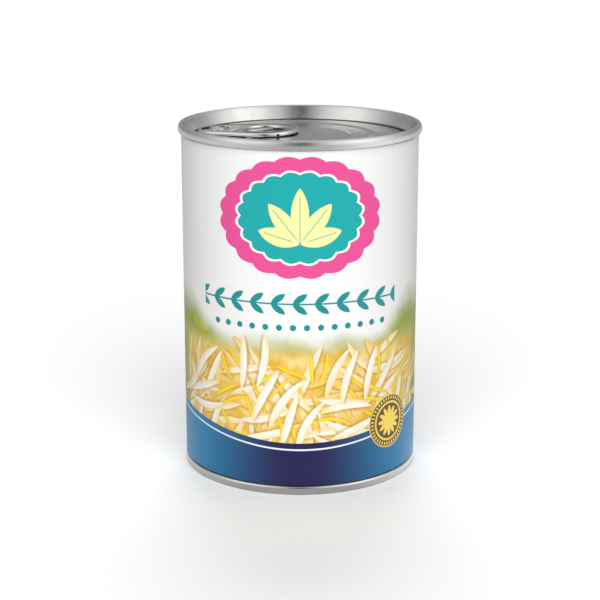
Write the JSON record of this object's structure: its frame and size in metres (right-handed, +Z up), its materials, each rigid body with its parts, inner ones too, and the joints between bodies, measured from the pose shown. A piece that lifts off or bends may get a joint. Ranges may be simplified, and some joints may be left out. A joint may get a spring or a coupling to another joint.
{
  "type": "ring-pull food can",
  "caption": "Tall round tinplate food can with rolled seams, a recessed easy-open lid, a riveted ring-pull tab that lifts, and a wrapped paper label.",
  "frame": {"origin": "middle of the foot, on the plane that the bottom seam stands on", "axes": "+Z up along the can's axis; the middle of the label's front faces -Y; the tab's nose lies near the -X side of the lid"},
  "size_m": [0.0758, 0.0758, 0.1095],
  "materials": {
    "body_tinplate": "bright rolled tinplate, lacquered inside",
    "end_tinplate": "satin tinplate with a fine grain, brighter on the rolled seam",
    "label_paper": "white coated paper with a satin print in teal, pink, pale yellow and dark blue",
    "contents": "pale sprouts in cloudy water",
    "tab_metal": "bright tin-plated steel, polished on the rolled edges"
  },
  "bodies": {
    "can": {"can_body": "body_tinplate", "easy_open_lid": "end_tinplate", "bottom_end": "end_tinplate", "paper_label": "label_paper", "contents": "contents", "tab_tongue": "tab_metal"},
    "pull_tab": {"ring_tab": "tab_metal"}
  },
  "joints": [
    {"name": "tab_lift", "type": "hinge", "parent": "can", "child": "pull_tab", "pos_m": [-0.03121, 0.00635, 0.10585], "axis": [-0.1994, -0.9799, 0], "range_deg": [0, 90]}
  ]
}
